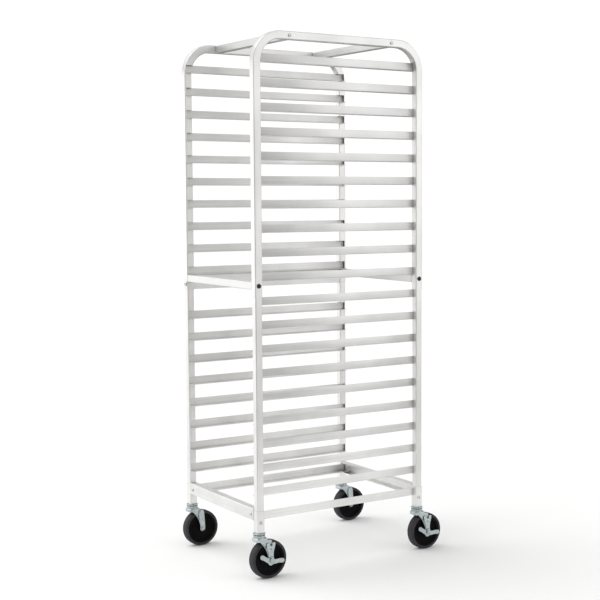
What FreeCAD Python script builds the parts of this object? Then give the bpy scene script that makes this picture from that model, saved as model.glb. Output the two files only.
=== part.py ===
import FreeCAD, Part
import math
import os

# A rolling rack for full-size sheet pans, in millimetres.
# +Z is up and the floor is Z = 0. Pans slide in along Y from the open face at -Y, and +X is the
# right-hand side for someone loading it. The origin is on the floor, midway between the four
# points where the wheels touch it. The casters trail towards +Y, so the frame stands at -Y of it.

V = FreeCAD.Vector
X_AXIS = V(1, 0, 0)
Y_AXIS = V(0, 1, 0)
Z_AXIS = V(0, 0, 1)
SIDES = (("left", -1), ("right", 1))
ENDS = (("front", -1), ("rear", 1))

# Overall size of the tube frame
rack_width = 514.35
rack_depth = 660.4
rack_height = 1769.5

# Square tube: the upper half of the frame, and the lower posts that slide up inside it
tube = 26.7
tube_wall = 1.25
tube_corner = 3.0
sharpest_corner = 0.4
inner_tube = 24.1
inner_wall = 1.5
inner_corner = 2.8
bend_outer_radius = 102.0

# Heights of the posts' ends
post_foot = 154.8
sleeve_top = 226.0
seam_height = 920.5
overlap_top = 968.0

# Angle slides that carry the pans, counted from the top; the last level is the base rail
slide_levels = 20
slide_pitch = 77.6
top_slide_height = 1696.0
slide_height = 27.0
slide_ledge = 25.4
slide_thick = 1.6
slide_bend = 2.6
slide_setback = 5.0
slide_inset = 17.0
first_lower_level = 11
left_brace_level = 11

# Cross bars, which join the left side to the right side
bar = 25.4
bar_wall = 1.5
bar_corner = 2.4
bar_end_plate = 3.0
top_bar_front_inset = 134.0
top_bar_rear_inset = 129.5
top_seam_front_inset = 119.5
top_seam_rear_inset = 145.5
mid_bar_bottom = 944.5
base_bar_bottom = 192.4
base_bar_height = 38.6
base_bar_flange = 25.4
base_bar_thick = 2.0
base_bolt_inset = 45.8
base_bolt_height = 210.0

# Tube plugs that splice the top rails to the bent posts
plug_inner_reach = 150.0
plug_bend_gap = 2.0
plug_wall = 3.0

# Brace between the two left posts
brace_width = 22.0
brace_height = 51.0
brace_bottom = 918.5
brace_bolt_height = 938.0

# Corner brackets behind the base cross bars
bracket_width = 25.0
bracket_foot = 30.0
bracket_thick = 3.0
bracket_height = 25.0

# Button-head bolts: shank radius, head radius, head height, socket across flats
small_bolt = (3.0, 6.0, 2.6, 4.0)
large_bolt = (4.0, 7.5, 3.6, 5.0)
hole_clearance = 0.1
stem_bolt_height = 188.4
stem_bolt_length = 20.0

# Casters
wheel_radius = 63.5
wheel_width = 32.0
tread_depth = 10.0
tread_shoulder = 3.5
hub_width = 29.0
hub_dish_radius = 44.0
hub_dish_depth = 5.0
boss_radius = 15.0
caster_trail = 31.0
fork_gap = 36.0
fork_thick = 3.0
fork_eye_radius = 10.5
fork_front_reach = 20.0
fork_front_skirt = 11.0
fork_front_flat = 10.0
crown_rear_reach = 20.0
leg_top = 129.5
leg_rear_reach = 36.0
leg_rear_chamfer = 5.0
crown_bottom = 133.5
crown_top = 137.5
race_radius = 19.5
race_round = 1.5
race_top = 146.4
cup_radius = 20.5
cup_bottom = 149.6
ball_radius = 3.2
ball_circle = 15.5
ball_centre = 148.1
ball_count = 12
stem_radius = 7.0
stem_top = 193.5
king_head_radius = 10.0
king_head_bottom = 130.2
king_head_top = 133.2
expander_side = 20.6
expander_bottom = 161.0
expander_top = 184.0
axle_radius = 5.0
bush_radius = 9.0
running_gap = 0.05
side_gap = 0.3
axle_reach = 32.0
axle_head_radius = 6.5
axle_head_height = 3.5
axle_head_round = 1.2
axle_nut_flats = 13.0
axle_nut_height = 4.5
axle_tip_length = 1.0

# Side brake on the two right-hand casters
brake_plate_thick = 2.0
brake_eye_radius = 10.5
brake_waist_half = 10.5
brake_waist_height = 92.0
brake_head_half = 15.5
brake_head_bottom = 106.0
brake_head_top = 120.0
brake_notch_radius = 4.5
lever_thick = 2.6
lever_hub_radius = 10.5
lever_lobe_radius = 8.5
lever_wing_reach = 46.0
lever_wing_width = 12.0
lever_wing_flare = 4.0
lever_wing_lift = 5.0
lever_lobe_drop = 9.0
lever_rest_angle = -15.0

# Worked out from the sizes above
frame_y = -caster_trail
side_x = rack_width / 2
post_x = side_x - tube / 2
post_y = rack_depth / 2 - tube / 2
bend_radius = bend_outer_radius - tube / 2
bend_start = rack_height - bend_outer_radius
rail_height = rack_height - tube / 2
post_face_x = side_x - tube
slide_face_x = side_x - slide_inset
slide_length = rack_depth - 2 * slide_setback
fork_outer = fork_gap / 2 + fork_thick
mid_bar_height = mid_bar_bottom + bar / 2
front_y = frame_y - rack_depth / 2
rear_y = frame_y + rack_depth / 2


def square_wire(side, corner):
    """Closed square in the XY plane about the origin, with round corners."""
    half = side / 2
    flat = half - corner
    tip = flat + corner * math.sqrt(0.5)
    edges = []
    for quarter in range(4):
        turn = FreeCAD.Rotation(Z_AXIS, 90 * quarter)
        start = turn.multVec(V(half, -flat, 0))
        end = turn.multVec(V(half, flat, 0))
        middle = turn.multVec(V(tip, tip, 0))
        after = turn.multVec(V(flat, half, 0))
        edges.append(Part.LineSegment(start, end).toShape())
        edges.append(Part.Arc(end, middle, after).toShape())
    return Part.Wire(edges)


def tube_section(side, wall, corner):
    """Cross section of a square tube, lying in the XY plane about the origin."""
    outer = Part.Face(square_wire(side, corner))
    inner = Part.Face(square_wire(side - 2 * wall, max(corner - wall, sharpest_corner)))
    return outer.cut(inner).Faces[0]


def turned(shape, direction, place):
    """Shape turned so that its +Z points along direction, then moved to place."""
    result = shape.copy()
    result.Placement = FreeCAD.Placement(place, FreeCAD.Rotation(Z_AXIS, direction))
    return result


def straight_tube(start, direction, length, side, wall, corner):
    """Square tube that runs from start along direction."""
    return turned(tube_section(side, wall, corner).extrude(Z_AXIS * length), direction, start)


def rod(start, direction, radius, length):
    """Round bar that runs from start along direction."""
    return Part.makeCylinder(radius, length, start, direction)


def block(low, high):
    """Box between two corners."""
    size = high.sub(low)
    return Part.makeBox(size.x, size.y, size.z, low)


def ring(centre, direction, outer_radius, inner_radius, length):
    """Round bar with a round hole along it."""
    return rod(centre, direction, outer_radius, length).cut(
        rod(centre, direction, inner_radius, length))


def hexagon(across_flats, height):
    """Hexagonal prism on the XY plane."""
    radius = across_flats / math.sqrt(3)
    corners = []
    for k in range(7):
        angle = math.radians(60 * k)
        corners.append(V(radius * math.cos(angle), radius * math.sin(angle), 0))
    return Part.Face(Part.makePolygon(corners)).extrude(Z_AXIS * height)


def button_bolt(seat, direction, size, length):
    """Button-head bolt: the head's underside is at seat and the shank runs along direction."""
    shank_radius, head_radius, head_height, socket = size
    head = Part.makeCylinder(head_radius, head_height, V(0, 0, -head_height))
    rim = [edge for edge in head.Edges if edge.BoundBox.ZMax < -head_height / 2
           and edge.Length > head_radius]
    head = head.makeFillet(head_height * 0.8, rim)
    recess = hexagon(socket, head_height * 0.6)
    recess.translate(V(0, 0, -head_height))
    shank = Part.makeCylinder(shank_radius, length)
    return turned(head.cut(recess).fuse(shank).removeSplitter(), direction, seat)


def bolt_hole(seat, direction, size, length):
    """Round hole for a bolt, started a little outside its seat."""
    start = seat.sub(direction * 2)
    return rod(start, direction, size[0] + hole_clearance, length + 2)


def save(node, solids):
    """Write one node's solids to its STEP file."""
    solids = solids if isinstance(solids, list) else [solids]
    shape = solids[0] if len(solids) == 1 else Part.makeCompound(solids)
    assert shape.isValid() and len(shape.Solids) == len(solids), node
    shape.exportStep("parts/" + node + ".step")


# ---- Bolts: where each one sits, which way it points, its size and its length ----

def post_joint_bolts():
    """Bolts through the overlapping posts, from the side, into the ends of the mid cross bars."""
    length = tube + bar_end_plate + 5
    return [(V(side * side_x, frame_y + end * post_y, mid_bar_height), V(-side, 0, 0),
             large_bolt, length) for _, side in SIDES for _, end in ENDS]


def top_bar_bolts():
    """Bolts through the top rails, from the side, into the ends of the top cross bars."""
    length = tube + bar_end_plate + 4
    places = (front_y + top_bar_front_inset, rear_y - top_bar_rear_inset)
    return [(V(side * side_x, y, rail_height), V(-side, 0, 0), small_bolt, length)
            for _, side in SIDES for y in places]


def brace_bolts():
    """Bolts through the left posts, from front and rear, into the ends of the left brace."""
    length = tube + bar_end_plate + 5
    return [(V(-post_x, frame_y + end * rack_depth / 2, brace_bolt_height), V(0, -end, 0),
             large_bolt, length) for _, end in ENDS]


def base_bar_bolts():
    """Bolts through the base cross bars into the corner brackets behind them."""
    length = base_bar_thick + bracket_thick + 4
    return [(V(side * (side_x - base_bolt_inset), frame_y + end * rack_depth / 2,
               base_bolt_height), V(0, -end, 0), small_bolt, length)
            for _, side in SIDES for _, end in ENDS]


def stem_bolts():
    """Bolts through the base sleeves and posts into the caster stems."""
    return [(V(side * side_x, frame_y + end * post_y, stem_bolt_height), V(-side, 0, 0),
             small_bolt, stem_bolt_length) for _, side in SIDES for _, end in ENDS]


BOLT_GROUPS = {
    "post_joint_bolts": post_joint_bolts(),
    "top_bar_bolts": top_bar_bolts(),
    "left_brace_bolts": brace_bolts(),
    "base_bar_bolts": base_bar_bolts(),
    "caster_stem_bolts": stem_bolts(),
}


def drilled(shape):
    """Shape with the hole of every bolt that passes through it."""
    for group in BOLT_GROUPS.values():
        for bolt in group:
            hole = bolt_hole(*bolt)
            if hole.BoundBox.intersect(shape.BoundBox):
                shape = shape.cut(hole)
    return shape


# ---- Frame ----

def upper_post(side, end):
    """Post that rises from the seam, bends over at the top and ends at the top rail."""
    section = tube_section(tube, tube_wall, tube_corner)
    y = frame_y + end * post_y
    foot = section.copy()
    foot.translate(V(side * post_x, y, seam_height))
    upright = foot.extrude(Z_AXIS * (bend_start - seam_height))
    elbow_face = section.copy()
    elbow_face.translate(V(side * post_x, y, bend_start))
    centre = V(side * post_x, y - end * bend_radius, bend_start)
    elbow = elbow_face.revolve(centre, X_AXIS, 90 * end)
    inset = top_seam_front_inset if end < 0 else top_seam_rear_inset
    leg = straight_tube(V(side * post_x, y - end * bend_radius, rail_height), V(0, -end, 0),
                        inset - bend_outer_radius, tube, tube_wall, tube_corner)
    return notched(drilled(upright.fuse([elbow, leg]).removeSplitter()), side)


def lower_post(side, end):
    """Straight post from the caster up into the upper post."""
    start = V(side * post_x, frame_y + end * post_y, post_foot)
    post = straight_tube(start, Z_AXIS, overlap_top - post_foot, inner_tube, inner_wall, inner_corner)
    return notched(drilled(post), side)


def base_sleeve(side, end):
    """Short collar round the foot of a lower post."""
    start = V(side * post_x, frame_y + end * post_y, post_foot)
    collar = straight_tube(start, Z_AXIS, sleeve_top - post_foot, tube, tube_wall, tube_corner)
    return notched(drilled(collar), side)


def top_rail(side):
    """Straight tube between the two bent posts of one side."""
    start = V(side * post_x, front_y + top_seam_front_inset, rail_height)
    length = rack_depth - top_seam_front_inset - top_seam_rear_inset
    return drilled(straight_tube(start, Y_AXIS, length, tube, tube_wall, tube_corner))


def splice_plug(side, end):
    """Tube inside the seam between a top rail and a bent post."""
    start = V(side * post_x, frame_y + end * plug_inner_reach, rail_height)
    length = rack_depth / 2 - bend_outer_radius - plug_bend_gap - plug_inner_reach
    return drilled(straight_tube(start, V(0, end, 0), length, inner_tube, plug_wall, inner_corner))


def closed_bar(start, direction, length):
    """Square cross bar with a threaded plate welded into each end."""
    body = straight_tube(start, direction, length, bar, bar_wall, bar_corner)
    opening = Part.Face(square_wire(bar - 2 * bar_wall, bar_corner - bar_wall))
    plate = opening.extrude(Z_AXIS * bar_end_plate)
    near = turned(plate, direction, start)
    far = turned(plate, direction, start.add(direction * (length - bar_end_plate)))
    return drilled(body.fuse([near, far]).removeSplitter())


def cross_bar(y, z):
    """Cross bar from the left frame to the right frame."""
    return closed_bar(V(-post_face_x, y, z), X_AXIS, 2 * post_face_x)


def base_cross_bar(end):
    """Channel between the base sleeves, with its web outwards and its flanges inwards."""
    outer = frame_y + end * rack_depth / 2
    inner = outer - end * base_bar_flange
    web_inner = outer - end * base_bar_thick
    top = base_bar_bottom + base_bar_height
    whole = block(V(-post_face_x, min(outer, inner), base_bar_bottom),
                  V(post_face_x, max(outer, inner), top))
    edges = [edge for edge in whole.Edges if edge.Length > post_face_x
             and abs(edge.CenterOfMass.y - outer) < 1]
    whole = whole.makeFillet(base_bar_thick * 0.9, edges)
    hollow = block(V(-post_face_x, min(web_inner, inner - end), base_bar_bottom + base_bar_thick),
                   V(post_face_x, max(web_inner, inner - end), top - base_bar_thick))
    return drilled(whole.cut(hollow))


def corner_bracket(side, end):
    """Angle bracket that stands on a base rail's ledge, behind a base cross bar's web."""
    web_inner = frame_y + end * (rack_depth / 2 - base_bar_thick)
    shelf = slide_top(slide_levels) - slide_height + slide_thick
    outer = post_face_x - 2 * tube_wall
    legs = []
    for length, height in ((bracket_thick, bracket_height), (bracket_foot, bracket_thick)):
        xs = (side * outer, side * (outer - bracket_width))
        ys = (web_inner, web_inner - end * length)
        legs.append(block(V(min(xs), min(ys), shelf), V(max(xs), max(ys), shelf + height)))
    return drilled(legs[0].fuse(legs[1]).removeSplitter())


def slide_top(level):
    """Height of the top edge of a slide, counting levels from 1 at the top."""
    return top_slide_height - slide_pitch * (level - 1)


def angle_slide(side, level):
    """Angle whose web is let into the posts and whose ledge turns inwards at the bottom."""
    bottom = slide_top(level) - slide_height
    inner_bend = slide_bend - slide_thick
    diagonal = 1 - math.sqrt(0.5)

    def point(depth, height):
        return V(side * (slide_face_x - depth), 0, bottom + height)

    bend_mid = point(slide_bend * diagonal, slide_bend * diagonal)
    hollow_mid = point(slide_thick + inner_bend * diagonal, slide_thick + inner_bend * diagonal)
    edges = [
        Part.LineSegment(point(0, slide_height), point(0, slide_bend)),
        Part.Arc(point(0, slide_bend), bend_mid, point(slide_bend, 0)),
        Part.LineSegment(point(slide_bend, 0), point(slide_ledge, 0)),
        Part.LineSegment(point(slide_ledge, 0), point(slide_ledge, slide_thick)),
        Part.LineSegment(point(slide_ledge, slide_thick), point(slide_bend, slide_thick)),
        Part.Arc(point(slide_bend, slide_thick), hollow_mid, point(slide_thick, slide_bend)),
        Part.LineSegment(point(slide_thick, slide_bend), point(slide_thick, slide_height)),
        Part.LineSegment(point(slide_thick, slide_height), point(0, slide_height)),
    ]
    profile = Part.Face(Part.Wire([edge.toShape() for edge in edges]))
    profile.translate(V(0, frame_y - slide_length / 2, 0))
    return profile.extrude(Y_AXIS * slide_length)


def side_levels(side):
    """Levels that have a slide on this side; the left brace takes the place of one of them."""
    return [level for level in range(1, slide_levels + 1)
            if not (side < 0 and level == left_brace_level)]


def notched(shape, side):
    """Shape with the notches that this side's slides are let into."""
    for level in side_levels(side):
        top = slide_top(level)
        low = V(min(side * slide_face_x, 0), frame_y - slide_length / 2, top - slide_height)
        high = V(max(side * slide_face_x, 0), frame_y + slide_length / 2, top)
        notch = block(low, high)
        if notch.BoundBox.intersect(shape.BoundBox):
            shape = shape.cut(notch)
    return shape


def left_brace():
    """Deep tube between the left posts, with a threaded plate in each end."""
    length = rack_depth - 2 * tube
    start = V(-post_x - brace_width / 2, frame_y - length / 2, brace_bottom)
    outer = Part.makeBox(brace_width, length, brace_height, start)
    long_edges = [edge for edge in outer.Edges if edge.Length > length - 1]
    outer = outer.makeFillet(bar_corner, long_edges)
    low = start.add(V(bar_wall, bar_end_plate, bar_wall))
    hollow = Part.makeBox(brace_width - 2 * bar_wall, length - 2 * bar_end_plate,
                          brace_height - 2 * bar_wall, low)
    return drilled(outer.cut(hollow))


# ---- Casters ----

def ball_track(x, y, clearance):
    """Ring-shaped groove that the swivel balls run in."""
    return Part.makeTorus(ball_circle, ball_radius + clearance, V(x, y, ball_centre))


def swivel_cup(x, y):
    """Upper half of the swivel bearing, fixed to the stem."""
    disc = rod(V(x, y, cup_bottom), Z_AXIS, cup_radius, post_foot - cup_bottom)
    rims = [edge for edge in disc.Edges if edge.Length > cup_radius * 3]
    disc = disc.makeFillet(1.2, rims)
    bore = rod(V(x, y, cup_bottom), Z_AXIS, stem_radius + running_gap, post_foot - cup_bottom)
    return disc.cut(bore).cut(ball_track(x, y, running_gap))


def swivel_balls(x, y):
    """Balls of the swivel bearing."""
    balls = []
    for k in range(ball_count):
        angle = 2 * math.pi * k / ball_count
        place = V(x + ball_circle * math.cos(angle), y + ball_circle * math.sin(angle), ball_centre)
        balls.append(Part.makeSphere(ball_radius, place))
    return balls


def caster_stem(x, y):
    """Stem that stands in the post and carries the swivel, with its riveted head below."""
    stem = rod(V(x, y, king_head_bottom), Z_AXIS, stem_radius, stem_top - king_head_bottom)
    head = rod(V(x, y, king_head_bottom), Z_AXIS, king_head_radius,
               king_head_top - king_head_bottom)
    return drilled(stem.fuse(head).removeSplitter())


def stem_expander(x, y):
    """Square rubber plug that grips the inside of the post."""
    prism = Part.Face(square_wire(expander_side, inner_corner - inner_wall)).extrude(
        Z_AXIS * (expander_top - expander_bottom))
    prism.translate(V(x, y, expander_bottom))
    bore = rod(V(x, y, expander_bottom), Z_AXIS, stem_radius + running_gap,
               expander_top - expander_bottom)
    return drilled(prism.cut(bore))


def tangent_point(outside, centre, radius, turn):
    """Point where the line from outside touches a circle in the YZ plane; turn is +1 or -1."""
    away = outside.sub(centre)
    angle = math.atan2(away.z, away.y) + turn * math.acos(radius / away.Length)
    return centre.add(V(0, radius * math.cos(angle), radius * math.sin(angle)))


def leg_outline(x, y):
    """Closed outline of a fork leg: wide at the crown, lower behind it, round at the axle."""
    axle = V(x, y + caster_trail, wheel_radius)
    points = [
        V(x, y - fork_front_reach, crown_top),
        V(x, y + crown_rear_reach, crown_top),
        V(x, y + crown_rear_reach, leg_top),
        V(x, y + leg_rear_reach - leg_rear_chamfer, leg_top),
        V(x, y + leg_rear_reach, leg_top - leg_rear_chamfer),
    ]
    front_low = V(x, y - fork_front_reach, crown_top - fork_front_skirt)
    front_flat = front_low.add(V(0, fork_front_flat, 0))
    rear_touch = tangent_point(points[-1], axle, fork_eye_radius, -1)
    front_touch = tangent_point(front_flat, axle, fork_eye_radius, 1)
    bottom = axle.sub(V(0, 0, fork_eye_radius))
    points.append(rear_touch)
    edges = [Part.LineSegment(a, b).toShape() for a, b in zip(points, points[1:])]
    edges.append(Part.Arc(rear_touch, bottom, front_touch).toShape())
    for a, b in ((front_touch, front_flat), (front_flat, front_low), (front_low, points[0])):
        edges.append(Part.LineSegment(a, b).toShape())
    return Part.Wire(edges)


def caster_fork(x, y):
    """Pressed fork: a crown that carries the lower ball race, and a leg each side of the wheel."""
    leg = Part.Face(leg_outline(x + fork_gap / 2, y)).extrude(X_AXIS * fork_thick)
    other = leg.copy()
    other.translate(V(-fork_gap - fork_thick, 0, 0))
    crown = block(V(x - fork_outer, y - fork_front_reach, crown_bottom),
                  V(x + fork_outer, y + crown_rear_reach, crown_top))
    upright = [edge for edge in crown.Edges if edge.Length < crown_top - crown_bottom + 1
               and abs(edge.CenterOfMass.z - (crown_bottom + crown_top) / 2) < 0.1]
    crown = crown.makeFillet(fork_thick * 0.9, upright)
    race = rod(V(x, y, crown_top), Z_AXIS, race_radius, race_top - crown_top)
    top_rim = [edge for edge in race.Edges if edge.BoundBox.ZMin > race_top - 0.1
               and edge.Length > race_radius]
    race = race.makeFillet(race_round, top_rim)
    fork = leg.fuse([other, crown, race]).removeSplitter()
    king_bore = rod(V(x, y, crown_bottom), Z_AXIS, stem_radius + running_gap, race_top - crown_bottom)
    axle_bore = rod(V(x - fork_outer, y + caster_trail, wheel_radius), X_AXIS,
                    axle_radius + running_gap, 2 * fork_outer)
    return fork.cut(king_bore).cut(ball_track(x, y, side_gap)).cut(axle_bore)


def axle_bolt(x, y, outboard):
    """Axle bolt with its head inboard, and its nut outboard, as two solids."""
    centre = V(x, y + caster_trail, wheel_radius)
    out = V(outboard, 0, 0)
    seat = centre.sub(out * fork_outer)
    shank = rod(seat, out, axle_radius, fork_outer + axle_reach)
    head = rod(seat.sub(out * axle_head_height), out, axle_head_radius, axle_head_height)
    rim = [edge for edge in head.Edges if edge.Length > axle_head_radius * 3
           and abs(edge.CenterOfMass.x - (seat.x - outboard * axle_head_height)) < 0.1]
    head = head.makeFillet(axle_head_round, rim)
    nut_start = axle_reach - axle_tip_length - axle_nut_height
    nut = hexagon(axle_nut_flats, axle_nut_height).cut(
        Part.makeCylinder(axle_radius + running_gap, axle_nut_height))
    nut = turned(nut, out, centre.add(out * nut_start))
    return [shank.fuse(head).removeSplitter(), nut]


def wheel_tread(x, y):
    """Tyre ring with rounded shoulders."""
    start = V(x - wheel_width / 2, y + caster_trail, wheel_radius)
    disc = rod(start, X_AXIS, wheel_radius, wheel_width)
    rims = [edge for edge in disc.Edges if edge.Length > wheel_radius * 3]
    disc = disc.makeFillet(tread_shoulder, rims)
    return disc.cut(rod(start, X_AXIS, wheel_radius - tread_depth, wheel_width))


def wheel_hub(x, y):
    """Moulded wheel centre, dished on both sides round a boss."""
    centre = V(x, y + caster_trail, wheel_radius)
    start = centre.sub(X_AXIS * (hub_width / 2))
    hub = ring(start, X_AXIS, wheel_radius - tread_depth - running_gap,
               bush_radius + running_gap, hub_width)
    for face in (start, start.add(X_AXIS * (hub_width - hub_dish_depth))):
        hub = hub.cut(ring(face, X_AXIS, hub_dish_radius, boss_radius, hub_dish_depth))
    return hub


def wheel_bush(x, y):
    """Plain bearing between the wheel and its axle."""
    length = fork_gap - 2 * side_gap
    start = V(x - length / 2, y + caster_trail, wheel_radius)
    return ring(start, X_AXIS, bush_radius, axle_radius + running_gap, length)


def brake_spring_plate(x, y):
    """Spring plate on the outer face of the fork: an eye, a waist and a notched head."""
    axle = V(x + fork_outer, y + caster_trail, wheel_radius)
    half_outline = [(0, wheel_radius), (brake_waist_half, wheel_radius),
                    (brake_waist_half, brake_waist_height), (brake_head_half, brake_head_bottom),
                    (brake_head_half, brake_head_top), (0, brake_head_top)]
    plate = rod(axle, X_AXIS, brake_eye_radius, brake_plate_thick)
    for half in (-1, 1):
        corners = [V(axle.x, axle.y + half * reach, height) for reach, height in half_outline]
        outline = Part.makePolygon(corners + corners[:1])
        plate = plate.fuse(Part.Face(outline).extrude(X_AXIS * brake_plate_thick))
    notch = rod(V(axle.x, axle.y, brake_head_top), X_AXIS, brake_notch_radius, brake_plate_thick)
    bore = rod(axle, X_AXIS, axle_radius + running_gap, brake_plate_thick)
    return plate.removeSplitter().cut(notch).cut(bore)


def brake_lever(x, y):
    """Foot lever that turns on the axle, at rest with its front wing up: two wings and a lobe."""
    start_x = x + fork_outer + brake_plate_thick + side_gap
    axle = V(start_x, y + caster_trail, wheel_radius)
    parts = [rod(axle, X_AXIS, lever_hub_radius, lever_thick),
             rod(axle.sub(V(0, 0, lever_lobe_drop)), X_AXIS, lever_lobe_radius, lever_thick)]
    half = lever_wing_width / 2
    for wing in (-1, 1):
        tip = axle.add(V(0, wing * lever_wing_reach, lever_wing_lift))
        outline = Part.makePolygon([
            axle.add(V(0, 0, half)), tip.add(V(0, 0, half)), tip.sub(V(0, 0, half)),
            axle.sub(V(0, 0, half + lever_wing_flare)), axle.add(V(0, 0, half))])
        parts.append(Part.Face(outline).extrude(X_AXIS * lever_thick))
    lever = parts[0].fuse(parts[1:]).removeSplitter()
    lever.rotate(axle, X_AXIS, lever_rest_angle)
    return lever.cut(rod(axle, X_AXIS, axle_radius + running_gap, lever_thick))


# ---- Nodes ----

os.makedirs("parts", exist_ok=True)

corners = [(side_name + "_" + end_name, side, end)
           for side_name, side in SIDES for end_name, end in ENDS]
for name, side, end in corners:
    save(name + "_upper_post", upper_post(side, end))
    save(name + "_lower_post", lower_post(side, end))
save("base_sleeves", [base_sleeve(side, end) for _, side, end in corners])
save("top_splice_plugs", [splice_plug(side, end) for _, side, end in corners])
save("base_corner_brackets", [corner_bracket(side, end) for _, side, end in corners])

save("top_cross_bar_front", cross_bar(front_y + top_bar_front_inset, rail_height))
save("top_cross_bar_rear", cross_bar(rear_y - top_bar_rear_inset, rail_height))
for end_name, end in ENDS:
    save("mid_cross_bar_" + end_name, cross_bar(frame_y + end * post_y, mid_bar_height))
    save("base_cross_bar_" + end_name, base_cross_bar(end))
save("left_mid_brace", left_brace())

for side_name, side in SIDES:
    save(side_name + "_top_rail", top_rail(side))
    levels = side_levels(side)
    save(side_name + "_upper_slides",
         [angle_slide(side, level) for level in levels if level < first_lower_level])
    save(side_name + "_lower_slides",
         [angle_slide(side, level) for level in levels if first_lower_level <= level < slide_levels])
    save(side_name + "_base_rail", angle_slide(side, slide_levels))

for node, bolts in BOLT_GROUPS.items():
    save(node, [button_bolt(*bolt) for bolt in bolts])

places = {name: (side * post_x, frame_y + end * post_y, side) for name, side, end in corners}
save("caster_stems", [caster_stem(x, y) for x, y, _ in places.values()])
save("stem_expanders", [stem_expander(x, y) for x, y, _ in places.values()])
save("swivel_cups", [swivel_cup(x, y) for x, y, _ in places.values()])
save("swivel_balls", [ball for x, y, _ in places.values() for ball in swivel_balls(x, y)])
for name, (x, y, side) in places.items():
    save(name + "_fork", caster_fork(x, y))
    save(name + "_axle_bolt", axle_bolt(x, y, side))
    save(name + "_wheel_hub", wheel_hub(x, y))
    save(name + "_wheel_tread", wheel_tread(x, y))
    save(name + "_wheel_bush", wheel_bush(x, y))
    if side > 0:
        save(name + "_brake_plate", brake_spring_plate(x, y))
        save(name + "_brake_lever", brake_lever(x, y))
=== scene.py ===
import math

import bmesh
import bpy
from mathutils import Matrix, Vector


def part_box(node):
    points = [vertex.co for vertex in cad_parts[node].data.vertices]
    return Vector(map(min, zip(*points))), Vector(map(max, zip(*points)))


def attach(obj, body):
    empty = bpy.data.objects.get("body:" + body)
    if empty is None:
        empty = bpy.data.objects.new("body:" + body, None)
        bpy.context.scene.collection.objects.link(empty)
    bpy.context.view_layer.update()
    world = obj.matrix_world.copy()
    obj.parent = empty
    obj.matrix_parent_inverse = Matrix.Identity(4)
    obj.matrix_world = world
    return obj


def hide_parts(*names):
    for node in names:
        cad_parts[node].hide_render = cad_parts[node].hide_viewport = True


# ---- Settings, in metres, degrees and linear colour values ----

CAMERA_PLACE = (3.8605, -2.3569, 1.2445)
CAMERA_YAW = 56.08
CAMERA_PITCH = 4.62
CAMERA_ROLL = -0.14
CAMERA_LENS = 77.48
CAMERA_SHIFT = -0.1111

BACKDROP_STRENGTH = 1.05
ROOM_BY_HEIGHT = (-0.24, 0.12, 0.22, 0.88)
ROOM_BRIGHT_SIDE = (-0.55, -0.83, 0.0)
ROOM_BY_SIDE = (-1.0, 1.0, 0.72, 1.04)
SUN_STRENGTH = 1.15
SUN_SOFTNESS = 55.0
SUN_FROM = (-0.45, -0.75, 1.25)

# Soft lights: place, width and power
FRONT_BOX = ((-2.6, -1.9, 0.8), 2.4, 15.0)
RIGHT_BOX = ((3.1, 2.4, 1.4), 3.2, 24.0)
LIGHTS_AIM = (0.0, 0.0, 0.9)

FLOOR_RADIUS = 1.7
FLOOR_SIDES = 96
FLOOR_COLOUR = (0.93, 0.93, 0.925)
FLOOR_SHADE = 0.985

# Ambient light at which the painted shade in a crevice is darkest, and at which it no longer shows
PAINTED_SHADE_DARKEST = 0.25
PAINTED_SHADE_CLEARS = 0.9


# ---- Node helpers ----

def colour_sockets(sockets):
    """The colour sockets of a mix node, which also has number and vector ones."""
    return [socket for socket in sockets if socket.type == "RGBA"]


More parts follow.
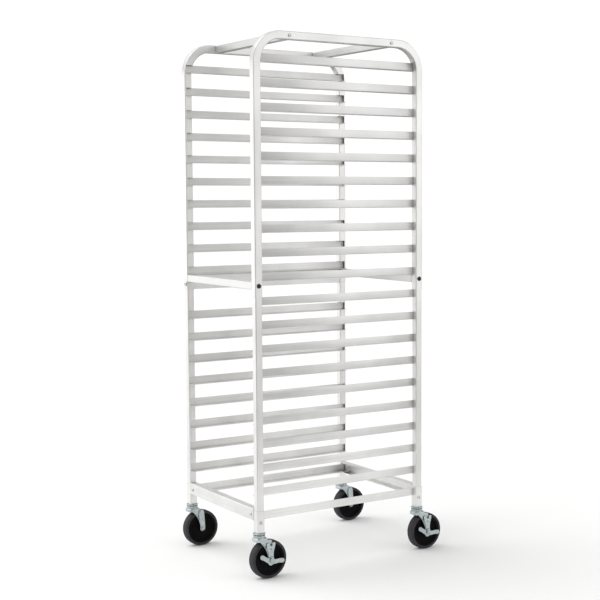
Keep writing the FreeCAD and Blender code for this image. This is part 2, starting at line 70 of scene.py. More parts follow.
class Nodes:
    """A material's node tree, with short ways to add and join nodes."""

    def __init__(self, name):
        self.material = bpy.data.materials.new(name)
        self.material.use_nodes = True
        self.tree = self.material.node_tree
        self.shader = self.tree.nodes["Principled BSDF"]
        self.places = self.add("ShaderNodeTexCoord").outputs["Object"]

    def add(self, kind, **settings):
        node = self.tree.nodes.new(kind)
        for name, value in settings.items():
            setattr(node, name, value)
        return node

    def link(self, source, target):
        self.tree.links.new(source, target)

    def stretched(self, scale):
        """Object coordinates scaled along each axis."""
        mapping = self.add("ShaderNodeMapping")
        mapping.inputs["Scale"].default_value = scale
        self.link(self.places, mapping.inputs["Vector"])
        return mapping.outputs["Vector"]

    def noise(self, scale, detail, vector=None):
        node = self.add("ShaderNodeTexNoise")
        node.inputs["Scale"].default_value = scale
        node.inputs["Detail"].default_value = detail
        self.link(vector or self.places, node.inputs["Vector"])
        return node.outputs["Fac"]

    def spread(self, source, low, high, start=0.3, end=0.7):
        """Source remapped so that start gives low and end gives high."""
        node = self.add("ShaderNodeMapRange")
        node.inputs["From Min"].default_value = start
        node.inputs["From Max"].default_value = end
        node.inputs["To Min"].default_value = low
        node.inputs["To Max"].default_value = high
        self.link(source, node.inputs["Value"])
        return node.outputs["Result"]

    def mix(self, factor, first, second):
        """Colour mix; first and second are colours or sockets."""
        node = self.add("ShaderNodeMix", data_type="RGBA")
        self.link(factor, node.inputs["Factor"])
        for socket, value in zip(colour_sockets(node.inputs), (first, second)):
            if isinstance(value, tuple):
                socket.default_value = (*value, 1.0)
            else:
                self.link(value, socket)
        return colour_sockets(node.outputs)[0]

    def maths(self, operation, first, second):
        node = self.add("ShaderNodeMath", operation=operation)
        for socket, value in zip(node.inputs, (first, second)):
            if isinstance(value, (int, float)):
                socket.default_value = value
            else:
                self.link(value, socket)
        return node.outputs["Value"]

    def painted_crevice_shade(self, socket, distance, depth):
        """Painted shade: darken a colour by ambient occlusion where surfaces meet closely; depth is how dark
        the tightest place gets.
        """
        shade = self.add("ShaderNodeAmbientOcclusion", samples=8)
        shade.inputs["Distance"].default_value = distance
        dark = self.add("ShaderNodeMix", data_type="RGBA", blend_type="MULTIPLY")
        closeness = self.spread(shade.outputs["AO"], depth, 0.0, PAINTED_SHADE_DARKEST, PAINTED_SHADE_CLEARS)
        self.link(closeness, dark.inputs["Factor"])
        first, second = colour_sockets(dark.inputs)
        self.link(socket, first)
        second.default_value = (0.0, 0.0, 0.0, 1.0)
        return colour_sockets(dark.outputs)[0]

    def bump(self, height, distance, strength):
        node = self.add("ShaderNodeBump")
        node.inputs["Strength"].default_value = strength
        node.inputs["Distance"].default_value = distance
        self.link(height, node.inputs["Height"])
        self.link(node.outputs["Normal"], self.shader.inputs["Normal"])

    def set(self, **values):
        for name, value in values.items():
            socket = self.shader.inputs[name.replace("_", " ")]
            socket.default_value = (*value, 1.0) if isinstance(value, tuple) else value

    def colour(self, socket):
        self.link(socket, self.shader.inputs["Base Color"])

    def roughness(self, socket):
        self.link(socket, self.shader.inputs["Roughness"])


def grain_scale(axis, across, along):
    """Noise scale that is fine across the grain and drawn out along it."""
    scale = [across] * 3
    scale[axis] = along
    return tuple(scale)


def brushed_aluminium(name, grain, tint=(0.87, 0.865, 0.85), rough=0.36):
    """Satin aluminium whose fine lines run along one axis: grain is 0 for X, 1 for Y, 2 for Z."""
    m = Nodes(name)
    lines = m.noise(1.0, 3.0, m.stretched(grain_scale(grain, 900.0, 9.0)))
    bands = m.noise(1.0, 2.0, m.stretched(grain_scale(grain, 160.0, 2.5)))
    clouds = m.noise(7.0, 5.0)
    dark = tuple(c * 0.86 for c in tint)
    streaks = m.maths("ADD", m.maths("MULTIPLY", lines, 0.55), m.maths("MULTIPLY", bands, 0.45))
    colour = m.mix(m.spread(m.maths("MULTIPLY", streaks, clouds), 0.0, 1.0, 0.15, 0.34), dark, tint)
    # Painted shade: the colour darkens where surfaces meet closely.
    m.colour(m.painted_crevice_shade(colour, 0.008, 0.35))
    m.roughness(m.spread(streaks, rough - 0.05, rough + 0.09, 0.35, 0.65))
    m.bump(streaks, 0.00008, 0.7)
    m.set(Metallic=1.0)
    return m.material


def zinc_plate(name, tint, rough):
    """Bright zinc plate: cool, faintly mottled, with soft scuffs and painted shade darkening its crevices.
    """
    m = Nodes(name)
    clouds = m.noise(70.0, 5.0)
    spangle = m.noise(520.0, 2.0)
    blotches = m.mix(m.spread(clouds, 0.0, 1.0, 0.35, 0.65), tuple(c * 0.8 for c in tint), tint)
    bright = m.mix(m.spread(spangle, 0.0, 0.35, 0.4, 0.7), blotches, tuple(min(c * 1.2, 1.0) for c in tint))
    # Painted shade: the colour darkens strongly where surfaces meet closely.
    m.colour(m.painted_crevice_shade(bright, 0.009, 0.95))
    m.roughness(m.spread(clouds, rough - 0.06, rough + 0.1))
    m.bump(clouds, 0.0001, 0.4)
    m.set(Metallic=1.0)
    return m.material


def dark_moulding(name, tint, rough, gloss, grain_size, grain_depth):
    """Moulded plastic or rubber: near black, with fine grain and dull cloudy patches."""
    m = Nodes(name)
    grain = m.noise(grain_size, 3.0)
    clouds = m.noise(35.0, 5.0)
    dusty = tuple(c * 1.6 + 0.0008 for c in tint)
    m.colour(m.mix(m.spread(clouds, 0.0, 1.0, 0.45, 0.8), tint, dusty))
    m.roughness(m.spread(m.maths("MULTIPLY", clouds, grain), rough - 0.05, rough + 0.12, 0.15, 0.4))
    m.bump(grain, grain_depth, 0.5)
    m.set(Metallic=0.0, Specular_IOR_Level=gloss)
    return m.material


def weld_metal():
    """Weld bead: the slide's aluminium, rougher and a little duller."""
    m = Nodes("weld_bead_aluminium")
    ripples = m.noise(900.0, 3.0)
    m.colour(m.mix(m.spread(ripples, 0.0, 1.0), (0.55, 0.55, 0.54), (0.78, 0.78, 0.77)))
    m.roughness(m.spread(ripples, 0.32, 0.55))
    m.bump(ripples, 0.0002, 0.5)
    m.set(Metallic=1.0)
    return m.material


MATERIALS = {
    "alu_x": brushed_aluminium("aluminium_grain_x", 0, (0.81, 0.81, 0.80)),
    "alu_y": brushed_aluminium("aluminium_grain_y", 1),
    "alu_z": brushed_aluminium("aluminium_grain_z", 2),
    "slide": brushed_aluminium("slide_aluminium", 1, (0.88, 0.875, 0.86), 0.44),
    "zinc": zinc_plate("bright_zinc", (0.50, 0.555, 0.565), 0.27),
    "bright": zinc_plate("zinc_screw", (0.74, 0.75, 0.745), 0.26),
    "black": dark_moulding("black_oxide", (0.02, 0.02, 0.022), 0.4, 0.4, 1500.0, 0.00003),
    "hub": dark_moulding("moulded_black", (0.003, 0.003, 0.0032), 0.45, 0.05, 900.0, 0.00004),
    "tread": dark_moulding("tread_rubber", (0.032, 0.031, 0.035), 0.62, 0.2, 1200.0, 0.00008),
    "weld": weld_metal(),
}


def dress(node, key):
    """Give a CAD node one material."""
    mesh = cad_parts[node].data
    mesh.materials.clear()
    mesh.materials.append(MATERIALS[key])


def material_of(node):
    """Which material a CAD node takes, from its name."""
    rules = (("wheel_hub", "hub"), ("wheel_tread", "tread"), ("post_joint_bolts", "black"),
             ("bolts", "bright"), ("expander", "tread"), ("fork", "zinc"), ("axle", "zinc"),
             ("brake", "zinc"), ("bush", "zinc"), ("swivel", "zinc"), ("stems", "zinc"),
             ("slides", "slide"), ("base_rail", "slide"), ("cross_bar", "alu_x"),
             ("top_rail", "alu_y"), ("brace", "alu_y"), ("plugs", "alu_y"), ("", "alu_z"))
    return next(key for word, key in rules if word in node)


# ---- Mesh helpers: sizes are given in millimetres and built in metres ----

MM = 0.001
SMOOTH_ANGLE = math.radians(40)


def new_object(name, bm):
    """Scene object from a bmesh in metres, smooth except along its sharp edges."""
    bmesh.ops.recalc_face_normals(bm, faces=bm.faces)
    mesh = bpy.data.meshes.new(name)
    bm.to_mesh(mesh)
    bm.free()
    mesh.polygons.foreach_set("use_smooth", [True] * len(mesh.polygons))
    mesh.set_sharp_from_angle(angle=SMOOTH_ANGLE)
    piece = bpy.data.objects.new(name, mesh)
    bpy.context.scene.collection.objects.link(piece)
    return piece


def finish_piece(piece, body, material, slot, *nodes):
    """Give a piece its material and body, and hide the CAD nodes that it stands for; slot is not used."""
    piece.data.materials.append(MATERIALS[material])
    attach(piece, body)
    if nodes:
        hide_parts(*nodes)
    return piece


def apply_modifiers(piece):
    """Turn a piece's modifiers into plain mesh."""
    graph = bpy.context.evaluated_depsgraph_get()
    made = bpy.data.meshes.new_from_object(piece.evaluated_get(graph))
    old = piece.data
    piece.modifiers.clear()
    piece.data = made
    made.name = old.name
    bpy.data.meshes.remove(old)
    made.polygons.foreach_set("use_smooth", [True] * len(made.polygons))
    made.set_sharp_from_angle(angle=SMOOTH_ANGLE)


def soften(piece, width, angle):
    """Round the edges of a piece that turn by more than an angle in degrees."""
    bevel = piece.modifiers.new("soft_edges", "BEVEL")
    bevel.width = width * MM
    bevel.segments = 2
    bevel.limit_method = "ANGLE"
    bevel.angle_limit = math.radians(angle)
    bevel.harden_normals = False
    apply_modifiers(piece)


def spun(bm, outline, centre, axis, steps):
    """Add a ring: a closed outline of (radius, along) points turned about an axis."""
    turn = axis.to_track_quat("Z", "Y").to_matrix()
    rings = []
    for step in range(steps):
        angle = 2 * math.pi * step / steps
        ring = []
        for radius, along in outline:
            local = Vector((radius * math.cos(angle), radius * math.sin(angle), along)) * MM
            ring.append(bm.verts.new(centre + turn @ local))
        rings.append(ring)
    for step in range(steps):
        here, there = rings[step], rings[(step + 1) % steps]
        for k in range(len(outline)):
            j = (k + 1) % len(outline)
            bm.faces.new((here[k], there[k], there[j], here[j]))


def rounded(corners, radius, steps=4):
    """Closed outline with its corners rounded; a corner may carry its own radius as a third value."""
    points = []
    count = len(corners)
    for k, corner in enumerate(corners):
        here = Vector(corner[:2])
        before = Vector(corners[k - 1][:2]) - here
        after = Vector(corners[(k + 1) % count][:2]) - here
        own = corner[2] if len(corner) > 2 else radius
        turn = math.pi - before.angle(after)
        cut = min(own * math.tan(turn / 2), before.length * 0.49, after.length * 0.49)
        if cut < 1e-4:
            points.append(tuple(here))
            continue
        first = here + before.normalized() * cut
        last = here + after.normalized() * cut
        for step in range(steps + 1):
            t = step / steps
            points.append(tuple(first * (1 - t) ** 2 + here * 2 * t * (1 - t) + last * t ** 2))
    return points


def plate(bm, outline, thickness, place):
    """Add a flat plate: place turns (u, v, w) millimetres into a point, w from 0 to thickness."""
    low = [bm.verts.new(place(u, v, 0.0)) for u, v in outline]
    high = [bm.verts.new(place(u, v, thickness)) for u, v in outline]
    bm.faces.new(low[::-1])
    bm.faces.new(high)
    count = len(outline)
    for k in range(count):
        j = (k + 1) % count
        bm.faces.new((low[k], low[j], high[j], high[k]))


def smooth_step(value, start, end):
    """0 before start, 1 after end, with a soft change between."""
    t = min(max((value - start) / (end - start), 0.0), 1.0)
    return t * t * (3 - 2 * t)


# ---- Casters ----

FORK_SHEET = 1.8
FORK_HALF = 21.0
FORK_NOSE = -20.0
NOSE_SQUARENESS = 0.62
LEG_FRONT = -8.0
FORK_APRON_Z = 126.5
FORK_TOP_Z = 137.5
FORK_BEND = 4.5
FORK_EYE = 10.5
FORK_REAR = 36.0
FORK_CROWN_REAR = 20.0
FORK_SHOULDER_Z = 129.5
SHOULDER_ROUND = 5.0
SHOULDER_STEP = 1.2

# Angles, in radians, at which the leg's front and rear edges leave its round eye
EYE_FRONT_TURN = 0.35
EYE_REAR_TURN = 0.1
FRONT_SWEEP = 1.9
FRONT_BELLY = 3.0
REAR_SWEEP = 0.8

# The pressed rib, and the distances over which the web, groove and flange round it change depth
WEB_DROP = 1.6
GROOVE_DROP = 2.8
RIB_LEAN = 4.5
RIB_MARGIN = 1.4
RIB_WIDEN = 1.6
RIB_FADE = 6.0
RIB_FADE_Z = 131.0
WEB_EDGE = (-0.6, 1.2)
GROOVE_START = (0.0, 1.2)
GROOVE_END = (2.6, 4.4)
FLANGE_EDGE = (3.4, 1.2)
RIB_TOP = 117.5
BRAKED_RIB_TOP = 102.0
TRAIL = 31.0
AXLE_Z = 63.5

NUT_FLATS = 13.0
NUT_SPAN = (26.5, 31.0)
PLATE_SPAN = (21.0, 23.0)
PLATE_TOP = 120.0
PLATE_EYE = 10.5

LEVER_SPAN = (23.3, 25.9)
LEVER_TURN = -15.0
LEVER_SHEET = 2.1
LEVER_HUB = 10.5
WING_REACH = 46.0
WING_BEND = 4.6
WING_BEND_START = 26.0
WING_HALF = 5.8
WING_FLARE = 1.8
WING_LIFT = 7.0
WING_DROP = -2.0
WING_TIP_START = 38.0
WING_TIP_LENGTH = 8.0
WING_ROOT_DEPTH = 4.0
LOBE_RADIUS = 10.0
LOBE_DROP = 7.5
DISH_DEPTH = 0.5
DISH_EDGE = (13.0, 9.0)
THINNEST_TIP = 0.6


def front_edge(z):
    """Where a fork leg's front edge lies at a height: a hollow sweep from the apron to the eye."""
    start_y = TRAIL - FORK_EYE * math.cos(EYE_FRONT_TURN)
    start_z = AXLE_Z + FORK_EYE * math.sin(EYE_FRONT_TURN)
    if z <= start_z:
        return TRAIL - math.sqrt(max(FORK_EYE ** 2 - (z - AXLE_Z) ** 2, 0.0))
    t = (z - start_z) / (FORK_APRON_Z - start_z)
    return start_y + (LEG_FRONT - start_y) * t ** FRONT_SWEEP + FRONT_BELLY * t * (1 - t)


def rear_edge(z):
    """Where a fork leg's rear edge lies at a height."""
    touch = AXLE_Z + FORK_EYE * math.sin(EYE_REAR_TURN)
    if z <= touch:
        return TRAIL + math.sqrt(max(FORK_EYE ** 2 - (z - AXLE_Z) ** 2, 0.0))
    corner = FORK_SHOULDER_Z - SHOULDER_ROUND
    inner = FORK_REAR - SHOULDER_ROUND
    leave = TRAIL + FORK_EYE * math.cos(EYE_REAR_TURN)
    if z <= corner:
        return leave + (FORK_REAR - leave) * ((z - touch) / (corner - touch)) ** REAR_SWEEP
    if z <= FORK_SHOULDER_Z:
        return inner + SHOULDER_ROUND * math.sqrt(max(1 - ((z - corner) / SHOULDER_ROUND) ** 2, 0.0))
    drop = smooth_step(z, FORK_SHOULDER_Z, FORK_SHOULDER_Z + SHOULDER_STEP)
    return inner + (FORK_CROWN_REAR - inner) * drop


def leg_inset(y, z, rib_top):
    """How far a leg's outer face lies inside the fork's full width, beside and around the pressed rib."""
    high = Vector((TRAIL - RIB_LEAN, rib_top))
    low = Vector((TRAIL, AXLE_Z))
    span = high - low
    place = Vector((y, z)) - low
    t = min(max(place.dot(span) / span.dot(span), 0.0), 1.0)
    away = (place - span * t).length - (FORK_EYE - RIB_MARGIN + RIB_WIDEN * t)
    web = WEB_DROP * smooth_step(away, *WEB_EDGE)
    groove_depth = GROOVE_DROP - WEB_DROP
    groove = groove_depth * smooth_step(away, *GROOVE_START) * (1 - smooth_step(away, *GROOVE_END))
    flange = smooth_step(y - front_edge(min(z, FORK_APRON_Z)), *FLANGE_EDGE)
    return (web + groove) * (1 - flange)


def fork_shell(name, kx, ky, rib_top):
    """Pressed fork body: one sheet from leg, round the closed nose, to the other leg, with a crown."""
    bm = bmesh.new()
    leg_columns = 40
    nose_columns = 22
    leg_rows = 34
    eye_rows = 7
    bend_rows = 5
    low_rows = [AXLE_Z - FORK_EYE * math.cos(a * math.pi / 2 / eye_rows) for a in (0.6, 1, 2, 3, 4, 5, 6)]
    low_rows += [AXLE_Z + (FORK_APRON_Z - AXLE_Z) * k / leg_rows for k in range(leg_rows + 1)]
    high_rows = [127.4, 128.2, 128.9, 129.5, 129.9, 130.3, 130.7, 131.5]
    bend_base = FORK_TOP_Z - FORK_BEND

    def point(x, y, z):
        return bm.verts.new(Vector((kx, ky, 0)) + Vector((x, y, z)) * MM)

    def leg_row(side, z):
        row = []
        for k in range(leg_columns + 1):
            t = k / leg_columns
            y = rear_edge(z) * (1 - t) + (front_edge(z) if z < FORK_APRON_Z else LEG_FRONT) * t
            fade = smooth_step(y, LEG_FRONT, LEG_FRONT + RIB_FADE)
            inset = leg_inset(y, z, rib_top) * fade * smooth_step(z, FORK_TOP_Z, RIB_FADE_Z)
            row.append((side * (FORK_HALF - inset), y))
        return row

    def nose_row():
        row = []
        for k in range(1, nose_columns):
            t = k / nose_columns
            angle = math.pi * t
            side = 1 if math.cos(angle) > 0 else -1
            x = -FORK_HALF * (abs(math.cos(angle)) ** NOSE_SQUARENESS) * side
            y = LEG_FRONT + (FORK_NOSE - LEG_FRONT) * math.sin(angle) ** NOSE_SQUARENESS
            row.append((x, y))
        return row

    def whole_row(z):
        return leg_row(-1, z) + nose_row() + leg_row(1, z)[::-1]

    legs = {-1: [], 1: []}
    for z in low_rows[:-1]:
        for side in (-1, 1):
            legs[side].append([point(x, y, z) for x, y in leg_row(side, z)])
    rows = []
    for z in [FORK_APRON_Z] + high_rows + [bend_base]:
        rows.append([point(x, y, z) for x, y in whole_row(z)])
    last = whole_row(bend_base)
    for k in range(1, bend_rows + 1):
        angle = math.pi / 2 * k / bend_rows
        inward = FORK_BEND * (1 - math.cos(angle))
        x_pull = 1 - inward / FORK_HALF
        y_pull = 1 - inward / (FORK_CROWN_REAR - FORK_NOSE)
        z = bend_base + FORK_BEND * math.sin(angle)
        rows.append([point(x * x_pull, FORK_CROWN_REAR + (y - FORK_CROWN_REAR) * y_pull, z)
                     for x, y in last])
    for side in (-1, 1):
        column = legs[side]
        top = rows[0][:leg_columns + 1] if side < 0 else rows[0][-leg_columns - 1:][::-1]
        for below, above in zip(column, column[1:] + [top]):
            for k in range(leg_columns):
                bm.faces.new((below[k], below[k + 1], above[k + 1], above[k]))
        bm.faces.new(column[0])
    for below, above in zip(rows, rows[1:]):
        for k in range(len(below) - 1):
            bm.faces.new((below[k], below[k + 1], above[k + 1], above[k]))
    bm.faces.new(rows[-1])
    piece = new_object(name, bm)
    sheet = piece.modifiers.new("sheet", "SOLIDIFY")
    sheet.thickness = FORK_SHEET * MM
    sheet.offset = -1.0
    apply_modifiers(piece)
    return piece


def make_fork(name, kx, ky, rib_top):
    """One fork: the pressed shell, with the raised ball race welded on its crown."""
    body = name + "_swivel"
    shell = fork_shell(name + "_fork_shell", kx, ky, rib_top)
    finish_piece(shell, body, "zinc", "caster_zinc", name + "_fork")
    bm = bmesh.new()
    race = rounded([(8.0, 136.5), (19.5, 136.5), (19.5, 139.6), (18.6, 140.2), (18.6, 141.4),
                    (19.5, 142.0), (19.5, 146.4, 1.6), (17.0, 146.4), (15.0, 144.6, 2.0), (12.5, 146.4),
                    (8.0, 146.4)], 0.5)
    spun(bm, race, Vector((kx, ky, 0)), Vector((0, 0, 1)), 72)
    ring = new_object(name + "_race_ring", bm)
    finish_piece(ring, body, "zinc", "caster_zinc")


def make_cups(places):
    """Upper bearing cups, which stay with the frame."""
    bm = bmesh.new()
    outline = rounded([(8.2, 154.8), (8.2, 151.0), (12.0, 151.0), (15.5, 151.2, 2.0), (18.0, 149.6),
                       (20.5, 149.6, 1.2), (20.5, 153.4, 1.2), (16.5, 153.6), (16.5, 154.8)], 0.3)
    for kx, ky in places:
        spun(bm, outline, Vector((kx, ky, 0)), Vector((0, 0, 1)), 80)
    finish_piece(new_object("bearing_cups", bm), "frame", "zinc", "caster_zinc", "swivel_cups")


def make_wheel(name, centre):
    """Moulded hub with a dished face and rings, and a rubber tread with round shoulders."""
    axis = Vector((1, 0, 0))
    half = [(9.0, 14.5), (14.0, 14.5, 1.2), (15.4, 9.6, 1.6), (23.0, 9.5), (24.0, 10.2, 0.5),
            (25.0, 9.5), (33.5, 9.8), (34.5, 10.5, 0.5), (35.5, 9.8), (42.6, 10.2, 1.6),
            (44.6, 14.4, 1.0), (53.5, 14.5, 0.3)]
    bm = bmesh.new()
    hub = half + [(c[0], -c[1], *c[2:]) for c in half[::-1]]
    spun(bm, rounded(hub, 0.6, 3), centre, axis, 112)
    finish_piece(new_object(name + "_hub_moulding", bm), name + "_wheel", "hub", "wheel_black",
                 name + "_wheel_hub")
    bm = bmesh.new()
    side = [(53.5, 15.4, 0.4), (55.0, 16.0, 1.0), (58.5, 15.9), (59.0, 15.5, 0.3), (59.6, 15.8),
            (62.4, 13.6, 3.0), (63.4, 9.0, 5.0)]
    tread = side + [(63.5, 0.6, 0.3), (63.5, -0.6, 0.3)] + [(c[0], -c[1], *c[2:]) for c in side[::-1]]
    spun(bm, rounded(tread, 0.6, 3), centre, axis, 128)
    finish_piece(new_object(name + "_tyre", bm), name + "_wheel", "tread", "tread_rubber",
                 name + "_wheel_tread")


def make_axle(name, centre, out):
    """Axle bolt with a domed head inboard and a nut outboard, with a washer where out is 1."""
    direction = Vector((out, 0, 0))
    bm = bmesh.new()
    spun(bm, rounded([(0.01, -20.9), (5.0, -20.9), (5.0, 31.0), (4.3, 32.0, 0.3), (0.01, 32.0)], 0.3),
         centre, direction, 40)
    spun(bm, rounded([(0.01, -24.5), (4.6, -24.4, 1.5), (6.5, -22.6, 1.0), (6.5, -21.0, 0.2),
                      (0.01, -21.0)], 0.2), centre, direction, 48)
    face_turn = math.radians(30)
    low, high = NUT_SPAN

    def place(u, v, w):
        return centre + Vector((out * (low + w), u, v)) * MM

    reach = NUT_FLATS / 2 / math.cos(math.pi / 6)
    hexagon = [(reach * math.cos(face_turn + k * math.pi / 3), reach * math.sin(face_turn + k * math.pi / 3))
               for k in range(6)]
    plate(bm, hexagon, high - low, place)
    if out > 0:
        washer = rounded([(5.1, low - 0.6), (8.6, low - 0.6), (8.6, low), (5.1, low)], 0.2)
        spun(bm, washer, centre, direction, 48)
    piece = new_object(name + "_axle_and_nut", bm)
    soften(piece, 0.35, 25)
    finish_piece(piece, name + "_swivel", "zinc", "caster_zinc", name + "_axle_bolt")


def arc_points(cu, cv, radius, start, end, steps):
    """Points of an arc from one angle to another, in degrees."""
    return [(cu + radius * math.cos(math.radians(start + (end - start) * k / steps)),
             cv + radius * math.sin(math.radians(start + (end - start) * k / steps)))
            for k in range(steps + 1)]


def make_brake_plate(name, centre):
    """Spring plate of the side brake: an eye, a narrow waist and a forked head with a notch."""
    top = PLATE_TOP - AXLE_Z
    half = [(0.0, top - 12.5), (3.2, top - 11.0), (4.6, top - 7.0), (4.8, top - 0.8), (6.0, top),
            (14.6, top), (16.4, top - 2.0), (16.0, top - 9.0), (12.4, top - 22.0), (9.8, 24.0),
            (9.4, 12.0), (10.3, 4.0)]
    outline = [(-u, v) for u, v in half[::-1]] + half[1:] + arc_points(0, 0, PLATE_EYE, 0, -180, 20)
    bm = bmesh.new()

    def place(u, v, w):
        return centre + Vector((PLATE_SPAN[0] + w, u, v)) * MM

    plate(bm, rounded(outline, 1.6, 3), PLATE_SPAN[1] - PLATE_SPAN[0], place)
    piece = new_object(name + "_spring_plate", bm)
    soften(piece, 0.45, 50)
    finish_piece(piece, name + "_swivel", "zinc", "caster_zinc", name + "_brake_plate")
    bm = bmesh.new()
    dimple = rounded([(0.01, 23.0), (2.2, 23.0), (2.9, 22.6), (2.9, 22.2), (0.01, 22.2)], 0.2)
    spun(bm, dimple, centre + Vector((0, 0, 36 * MM)), Vector((1, 0, 0)), 32)
    finish_piece(new_object(name + "_plate_rivet", bm), name + "_swivel", "zinc", "caster_zinc")


def lever_edges(y):
    """Lower and upper edge of the lever at a distance along its wings."""
    reach = abs(y)
    tip = max(1 - max(reach - WING_TIP_START, 0.0) ** 2 / WING_TIP_LENGTH ** 2, 0.0) ** 0.5
    middle = WING_DROP + WING_LIFT * smooth_step(reach, 6.0, WING_REACH)
    half = (WING_HALF + WING_FLARE * smooth_step(reach, 12.0, 40.0)) * tip
    low, high = middle - half - WING_ROOT_DEPTH * smooth_step(reach, 34.0, 8.0), middle + half
    if reach < LEVER_HUB:
        high = max(high, math.sqrt(LEVER_HUB ** 2 - reach ** 2))
    lobe = -LOBE_DROP - math.sqrt(max(LOBE_RADIUS ** 2 - min(reach, LOBE_RADIUS) ** 2, 0.0))
    fade = smooth_step(reach, LOBE_RADIUS - 2.0, LOBE_RADIUS + 5.0)
    low = min(low, lobe * (1 - fade) + low * fade)
    return low, high


def make_lever(name, centre):
    """Foot lever: one pressed sheet with two wings whose tips bend outward, and a lobe below."""
    bm = bmesh.new()
    turn = math.radians(LEVER_TURN)
    columns, rows = 92, 12
    grid = []
    for c in range(columns + 1):
        angle = math.pi * c / columns
        y = -WING_REACH * (0.35 * math.cos(angle) + 0.65 * (1 - 2 * c / columns))
        low, high = lever_edges(y)
        if high - low < THINNEST_TIP:
            centre_line = (low + high) / 2
            low, high = centre_line - THINNEST_TIP / 2, centre_line + THINNEST_TIP / 2
        line = []
        for r in range(rows + 1):
            z = low + (high - low) * r / rows
            bend = WING_BEND * smooth_step(abs(y), WING_BEND_START, WING_REACH)
            dish = DISH_DEPTH * smooth_step(math.hypot(y, z), *DISH_EDGE)
            out = LEVER_SPAN[1] - DISH_DEPTH + bend + dish
            line.append(bm.verts.new(centre + Vector((
                out, y * math.cos(turn) - z * math.sin(turn),
                y * math.sin(turn) + z * math.cos(turn))) * MM))
        grid.append(line)
    for c in range(columns):
        for r in range(rows):
            bm.faces.new((grid[c][r], grid[c + 1][r], grid[c + 1][r + 1], grid[c][r + 1]))
    piece = new_object(name + "_foot_lever", bm)
    if sum(p.normal.x for p in piece.data.polygons) < 0:
        piece.data.flip_normals()
    sheet = piece.modifiers.new("sheet", "SOLIDIFY")
    sheet.thickness = LEVER_SHEET * MM
    sheet.offset = -1.0
    soften(piece, 0.5, 50)
    finish_piece(piece, name + "_brake", "zinc", "caster_zinc", name + "_brake_lever")


# ---- Slides and their welds ----

SLIDE_HEIGHT = 27.0
SLIDE_LEDGE = 25.4
SLIDE_SHEET = 1.6
SLIDE_PITCH = 77.6
SLIDE_SOFT_END = 0.35
SOFT_END_DEPTH = 0.6

# How far past a slide's end the bead on its upper post stands
UPPER_BEAD_SETBACK = 22.0
BEAD_MARGIN = 4.0
BEAD_RADIUS = 1.5
BEAD_RIPPLE = 0.10
BEAD_SINK = 0.3
BEAD_FLATNESS = 0.6


def make_slides(side, level):
    """One group of slides: bent angles with round bends, a ledge below and softened edges."""
    node = f"{side}_{level}_slides"
    low, high = (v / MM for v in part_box(node))
    count = round((high.z - low.z - SLIDE_HEIGHT) / SLIDE_PITCH) + 1
    sign = 1 if side == "left" else -1
    web = low.x if side == "left" else high.x
    t = SLIDE_SHEET
    soft = SLIDE_SOFT_END
    outline = rounded([(0, 0, 2.6), (SLIDE_LEDGE, 0, 0.5), (SLIDE_LEDGE, t, 0.5), (t, t, 1.0),
                       (t, SLIDE_HEIGHT, 0.5), (0, SLIDE_HEIGHT, 0.5)], 0.5, 4)
    bm = bmesh.new()
    for k in range(count):
        base = low.z + k * SLIDE_PITCH
        ends = []
        for y, inset in ((low.y, soft), (low.y + soft, 0.0), (high.y - soft, 0.0), (high.y, soft)):
            ring = []
            for u, v in outline:
                du = inset * (1 if u < t / 2 else -1 if u > t / 2 and v > t else 0)
                dv = inset * (1 if v < t / 2 else -1)
                x = web + sign * (u + du * SOFT_END_DEPTH)
                z = base + v + dv * SOFT_END_DEPTH
                ring.append(bm.verts.new(Vector((x, y, z)) * MM))
            ends.append(ring)
        for first, second in zip(ends, ends[1:]):
            for j in range(len(outline)):
                i = (j + 1) % len(outline)
                bm.faces.new((first[j], first[i], second[i], second[j]))
        bm.faces.new(ends[0][::-1])
        bm.faces.new(ends[-1])
    finish_piece(new_object(node + "_bent", bm), "frame", "slide", "slide_aluminium", node)


def bead_places(side, level, slide_front, slide_rear):
    """Where the front and rear weld beads of a level stand along the rack's depth."""
    if level == "upper":
        return slide_front + UPPER_BEAD_SETBACK, slide_rear - UPPER_BEAD_SETBACK
    front_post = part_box(f"{side}_front_{level}_post")
    rear_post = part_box(f"{side}_rear_{level}_post")
    return front_post[1].y / MM, rear_post[0].y / MM


def make_welds(side):
    """Short rippled weld beads where each slide's web meets its two posts."""
    sign = 1 if side == "left" else -1
    bm = bmesh.new()
    for level in ("upper", "lower"):
        low, high = (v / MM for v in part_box(f"{side}_{level}_slides"))
        count = round((high.z - low.z - SLIDE_HEIGHT) / SLIDE_PITCH) + 1
        web = low.x if side == "left" else high.x
        for k in range(count):
            base = low.z + k * SLIDE_PITCH
            for y in bead_places(side, level, low.y, high.y):
                weld_bead(bm, web, y, base, sign)
    finish_piece(new_object(side + "_slide_welds", bm), "frame", "weld", "slide_aluminium")


def weld_bead(bm, web, y, base, sign):
    """One bead up the corner between the slide's outer face and the post."""
    steps, around, ripples = 18, 8, 9
    rings = []
    for s in range(steps + 1):
        t = s / steps
        z = base + BEAD_MARGIN + (SLIDE_HEIGHT - 2 * BEAD_MARGIN) * t
        fat = BEAD_RADIUS * math.sin(math.pi * min(max(t, 0.04), 0.96)) ** 0.4
        fat *= 1 + BEAD_RIPPLE * math.sin(t * ripples * 2 * math.pi)
        ring = []
        for j in range(around):
            a = 2 * math.pi * j / around
            x = web - sign * (BEAD_SINK - fat * BEAD_FLATNESS * math.cos(a))
            ring.append(bm.verts.new(Vector((x, y + fat * math.sin(a), z)) * MM))
        rings.append(ring)
    for first, second in zip(rings, rings[1:]):
        for j in range(around):
            i = (j + 1) % around
            bm.faces.new((first[j], first[i], second[i], second[j]))
    bm.faces.new(rings[0][::-1])
    bm.faces.new(rings[-1])


# ---- Studio ----

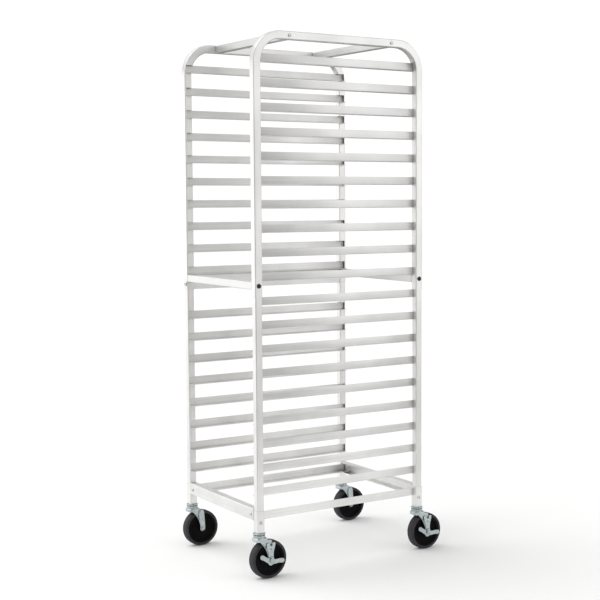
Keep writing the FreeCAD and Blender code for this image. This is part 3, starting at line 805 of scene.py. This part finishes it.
def make_camera():
    """Camera at the viewing angle given by the settings."""
    yaw, pitch, roll = (math.radians(a) for a in (CAMERA_YAW, CAMERA_PITCH, CAMERA_ROLL))
    forward = Vector((-math.sin(yaw) * math.cos(pitch), math.cos(yaw) * math.cos(pitch),
                      -math.sin(pitch)))
    right = Vector((math.cos(yaw), math.sin(yaw), 0))
    up = right.cross(forward)
    level_right = right * math.cos(roll) + up * math.sin(roll)
    level_up = up * math.cos(roll) - right * math.sin(roll)
    data = bpy.data.cameras.new("camera")
    data.sensor_width = 36.0
    data.lens = CAMERA_LENS
    data.shift_x = CAMERA_SHIFT
    camera = bpy.data.objects.new("camera", data)
    camera.matrix_world = Matrix((
        (level_right.x, level_up.x, -forward.x, CAMERA_PLACE[0]),
        (level_right.y, level_up.y, -forward.y, CAMERA_PLACE[1]),
        (level_right.z, level_up.z, -forward.z, CAMERA_PLACE[2]),
        (0, 0, 0, 1)))
    bpy.context.scene.collection.objects.link(camera)
    bpy.context.scene.camera = camera


def make_floor():
    """Plain pale round floor, as white at its rim as the backdrop behind it."""
    mesh = bpy.data.meshes.new("floor")
    rim = [2 * math.pi * k / FLOOR_SIDES for k in range(FLOOR_SIDES)]
    mesh.from_pydata([(FLOOR_RADIUS * math.cos(a), FLOOR_RADIUS * math.sin(a), 0) for a in rim],
                     [], [tuple(range(FLOOR_SIDES))])
    floor = bpy.data.objects.new("floor", mesh)
    bpy.context.scene.collection.objects.link(floor)
    m = Nodes("pale_floor")
    m.colour(m.mix(m.noise(0.7, 2.0), FLOOR_COLOUR, tuple(c * FLOOR_SHADE for c in FLOOR_COLOUR)))
    m.set(Roughness=0.85)
    mesh.materials.append(m.material)


def map_range(tree, source, limits):
    """Node that remaps a value, with limits as from low, from high, to low and to high."""
    node = tree.nodes.new("ShaderNodeMapRange")
    for socket, value in zip(("From Min", "From Max", "To Min", "To Max"), limits):
        node.inputs[socket].default_value = value
    tree.links.new(source, node.inputs["Value"])
    return node


def make_world():
    """White studio: plain white behind, and a softly graded room that lights and reflects."""
    world = bpy.data.worlds.new("studio")
    bpy.context.scene.world = world
    world.use_nodes = True
    tree = world.node_tree
    room = tree.nodes["Background"]
    backdrop = tree.nodes.new("ShaderNodeBackground")
    backdrop.inputs["Color"].default_value = (1.0, 1.0, 1.0, 1.0)
    backdrop.inputs["Strength"].default_value = BACKDROP_STRENGTH
    place = tree.nodes.new("ShaderNodeTexCoord").outputs["Generated"]
    split = tree.nodes.new("ShaderNodeSeparateXYZ")
    tree.links.new(place, split.inputs["Vector"])
    height = map_range(tree, split.outputs["Z"], ROOM_BY_HEIGHT)
    height.interpolation_type = "SMOOTHSTEP"
    toward = tree.nodes.new("ShaderNodeVectorMath")
    toward.operation = "DOT_PRODUCT"
    toward.inputs[1].default_value = ROOM_BRIGHT_SIDE
    tree.links.new(place, toward.inputs[0])
    side = map_range(tree, toward.outputs["Value"], ROOM_BY_SIDE)
    product = tree.nodes.new("ShaderNodeMath")
    product.operation = "MULTIPLY"
    tree.links.new(height.outputs["Result"], product.inputs[0])
    tree.links.new(side.outputs["Result"], product.inputs[1])
    tree.links.new(product.outputs["Value"], room.inputs["Strength"])
    room.inputs["Color"].default_value = (1.0, 1.0, 1.0, 1.0)
    chooser = tree.nodes.new("ShaderNodeMixShader")
    rays = tree.nodes.new("ShaderNodeLightPath")
    tree.links.new(rays.outputs["Is Camera Ray"], chooser.inputs["Fac"])
    tree.links.new(room.outputs["Background"], chooser.inputs[1])
    tree.links.new(backdrop.outputs["Background"], chooser.inputs[2])
    tree.links.new(chooser.outputs["Shader"], tree.nodes["World Output"].inputs["Surface"])


def soft_box(name, place, size, power):
    """Large square soft light aimed at the middle of the rack."""
    data = bpy.data.lights.new(name, "AREA")
    data.size = size
    data.energy = power
    light = bpy.data.objects.new(name, data)
    light.location = place
    aim = Vector(LIGHTS_AIM) - Vector(place)
    light.rotation_euler = aim.to_track_quat("-Z", "Y").to_euler()
    bpy.context.scene.collection.objects.link(light)


def soft_sun():
    """Very soft main light from high in front, on the rack's left."""
    data = bpy.data.lights.new("main_light", "SUN")
    data.energy = SUN_STRENGTH
    data.angle = math.radians(SUN_SOFTNESS)
    light = bpy.data.objects.new("main_light", data)
    light.rotation_euler = (-Vector(SUN_FROM)).to_track_quat("-Z", "Y").to_euler()
    bpy.context.scene.collection.objects.link(light)


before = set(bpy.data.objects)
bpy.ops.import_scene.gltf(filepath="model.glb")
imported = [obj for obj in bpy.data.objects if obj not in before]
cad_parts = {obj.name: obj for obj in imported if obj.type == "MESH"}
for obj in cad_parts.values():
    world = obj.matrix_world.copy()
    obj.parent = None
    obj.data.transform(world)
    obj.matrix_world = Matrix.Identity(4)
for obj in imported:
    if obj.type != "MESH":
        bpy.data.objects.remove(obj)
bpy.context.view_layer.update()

for node_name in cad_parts:
    dress(node_name, material_of(node_name))

stem_places = []
for corner in ("left_front", "left_rear", "right_front", "right_rear"):
    wheel_low, wheel_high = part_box(corner + "_wheel_tread")
    axle = (wheel_low + wheel_high) / 2
    outward = -1 if corner.startswith("left") else 1
    stem_places.append((axle.x, axle.y - TRAIL * MM))
    make_fork(corner, *stem_places[-1], RIB_TOP if outward < 0 else BRAKED_RIB_TOP)
    make_wheel(corner, axle)
    make_axle(corner, axle, outward)
    if corner.startswith("right"):
        make_brake_plate(corner, axle)
        make_lever(corner, axle)
make_cups(stem_places)
for rack_side in ("left", "right"):
    make_slides(rack_side, "upper")
    make_slides(rack_side, "lower")
    make_welds(rack_side)

make_floor()
make_world()
soft_sun()
soft_box("front_light", *FRONT_BOX)
soft_box("right_light", *RIGHT_BOX)
make_camera()
bpy.context.scene.view_settings.view_transform = "Standard"
